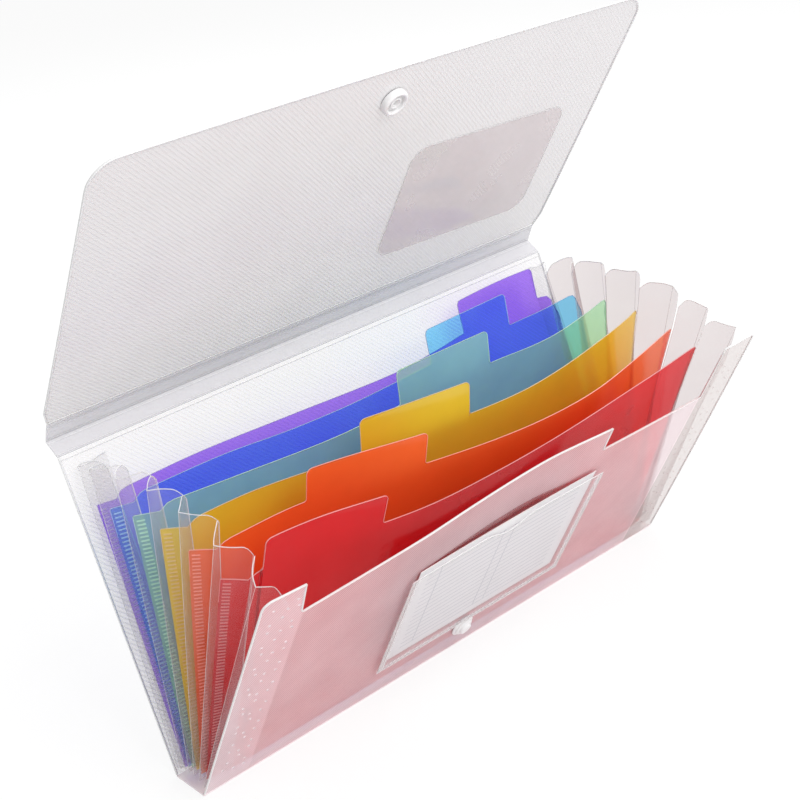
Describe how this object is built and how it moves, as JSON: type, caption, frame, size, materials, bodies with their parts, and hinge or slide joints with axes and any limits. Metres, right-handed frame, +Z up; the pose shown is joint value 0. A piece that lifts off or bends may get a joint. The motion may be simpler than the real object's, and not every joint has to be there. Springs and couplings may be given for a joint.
{
  "type": "accordion file folder",
  "caption": "Expanding file of frosted clear plastic with tabbed see-through coloured dividers, film gussets, a label pocket on the front and a flap that snaps shut.",
  "frame": {"origin": "On the floor, under the middle of the bottom strip that the folder stands on.", "axes": "+X across the folder to the right as seen from the front, +Y to the back, +Z up."},
  "size_m": [0.2668, 0.1328, 0.2494],
  "materials": {
    "cover": "frosted clear polypropylene with fine diagonal ribs",
    "film": "clear glossy film",
    "patch": "smooth clear film",
    "snap": "white moulded plastic",
    "card": "white card with ruled lines",
    "tint_purple": "see-through purple polypropylene sheet",
    "tint_blue": "see-through blue polypropylene sheet",
    "tint_green": "see-through green polypropylene sheet",
    "tint_yellow": "see-through yellow polypropylene sheet",
    "tint_orange": "see-through orange polypropylene sheet",
    "tint_red": "see-through red polypropylene sheet"
  },
  "bodies": {
    "base": {"bottom_strip": "cover"},
    "back": {"back_panel": "cover"},
    "spine_low": {"spine_lower": "cover"},
    "spine_up": {"spine_upper": "cover"},
    "flap": {"flap_panel": "cover", "flap_patch": "patch", "snap_cap": "snap", "snap_socket": "snap"},
    "purple": {"divider_purple": "tint_purple", "gusset_left_1": "film", "gusset_right_1": "film"},
    "blue": {"divider_blue": "tint_blue", "gusset_left_2": "film", "gusset_right_2": "film"},
    "green": {"divider_green": "tint_green", "gusset_left_3": "film", "gusset_right_3": "film"},
    "yellow": {"divider_yellow": "tint_yellow", "gusset_left_4": "film", "gusset_right_4": "film"},
    "orange": {"divider_orange": "tint_orange", "gusset_left_5": "film", "gusset_right_5": "film"},
    "red": {"divider_red": "tint_red", "gusset_left_6": "film", "gusset_right_6": "film"},
    "front": {"front_panel": "cover", "label_pocket": "film", "snap_stud": "snap", "snap_backing": "snap", "gusset_left_7": "film", "gusset_right_7": "film"},
    "card": {"index_card": "card"}
  },
  "joints": [
    {"name": "back_crease", "type": "hinge", "parent": "base", "child": "back", "pos_m": [0, 0.009, 0.0003], "axis": [-1, 0, 0], "range_deg": [-18.9, 0]},
    {"name": "spine_fold", "type": "hinge", "parent": "back", "child": "spine_low", "pos_m": [0, 0.05208, 0.12613], "axis": [-1, 0, 0], "range_deg": [-15, 32]},
    {"name": "pocket_1", "type": "hinge", "parent": "back", "child": "purple", "pos_m": [0, -0.00239, 0.0022], "axis": [-1, 0, 0], "range_deg": [0, 6.37], "deforming": ["gusset_left_1", "gusset_right_1"]},
    {"name": "pocket_2", "type": "hinge", "parent": "purple", "child": "blue", "pos_m": [0, -0.00239, 0.0022], "axis": [-1, 0, 0], "range_deg": [0, 5.32], "deforming": ["gusset_left_2", "gusset_right_2"]},
    {"name": "pocket_3", "type": "hinge", "parent": "blue", "child": "green", "pos_m": [0, -0.00239, 0.0022], "axis": [-1, 0, 0], "range_deg": [0, 8.04], "deforming": ["gusset_left_3", "gusset_right_3"]},
    {"name": "pocket_4", "type": "hinge", "parent": "green", "child": "yellow", "pos_m": [0, -0.00239, 0.0022], "axis": [-1, 0, 0], "range_deg": [0, 8.25], "deforming": ["gusset_left_4", "gusset_right_4"]},
    {"name": "pocket_5", "type": "hinge", "parent": "yellow", "child": "orange", "pos_m": [0, -0.00239, 0.0022], "axis": [-1, 0, 0], "range_deg": [0, 8.78], "deforming": ["gusset_left_5", "gusset_right_5"]},
    {"name": "pocket_6", "type": "hinge", "parent": "orange", "child": "red", "pos_m": [0, -0.00239, 0.0022], "axis": [-1, 0, 0], "range_deg": [0, 8.78], "deforming": ["gusset_left_6", "gusset_right_6"]},
    {"name": "pocket_7", "type": "hinge", "parent": "red", "child": "front", "pos_m": [0, -0.00239, 0.0022], "axis": [-1, 0, 0], "range_deg": [0, 7.94], "deforming": ["gusset_left_7", "gusset_right_7"]},
    {"name": "spine_middle", "type": "hinge", "parent": "spine_low", "child": "spine_up", "pos_m": [0, 0.05915, 0.13085], "axis": [-1, 0, 0], "range_deg": [-15, 70]},
    {"name": "flap_crease", "type": "hinge", "parent": "spine_up", "child": "flap", "pos_m": [0, 0.05571, 0.13862], "axis": [-1, 0, 0], "range_deg": [-16, 90]},
    {"name": "card_slide", "type": "slide", "parent": "front", "child": "card", "axis": [0, -0.4924, 0.8704], "range_m": [0, 0.04]}
  ],
  "couplings": [
    {"joint": "pocket_1", "follows": "back_crease", "ratio": -0.32048},
    {"joint": "pocket_2", "follows": "back_crease", "ratio": -0.26757},
    {"joint": "pocket_3", "follows": "back_crease", "ratio": -0.40514},
    {"joint": "pocket_4", "follows": "back_crease", "ratio": -0.41572},
    {"joint": "pocket_5", "follows": "back_crease", "ratio": -0.44218},
    {"joint": "pocket_6", "follows": "back_crease", "ratio": -0.44218},
    {"joint": "pocket_7", "follows": "back_crease", "ratio": -0.39985}
  ]
}
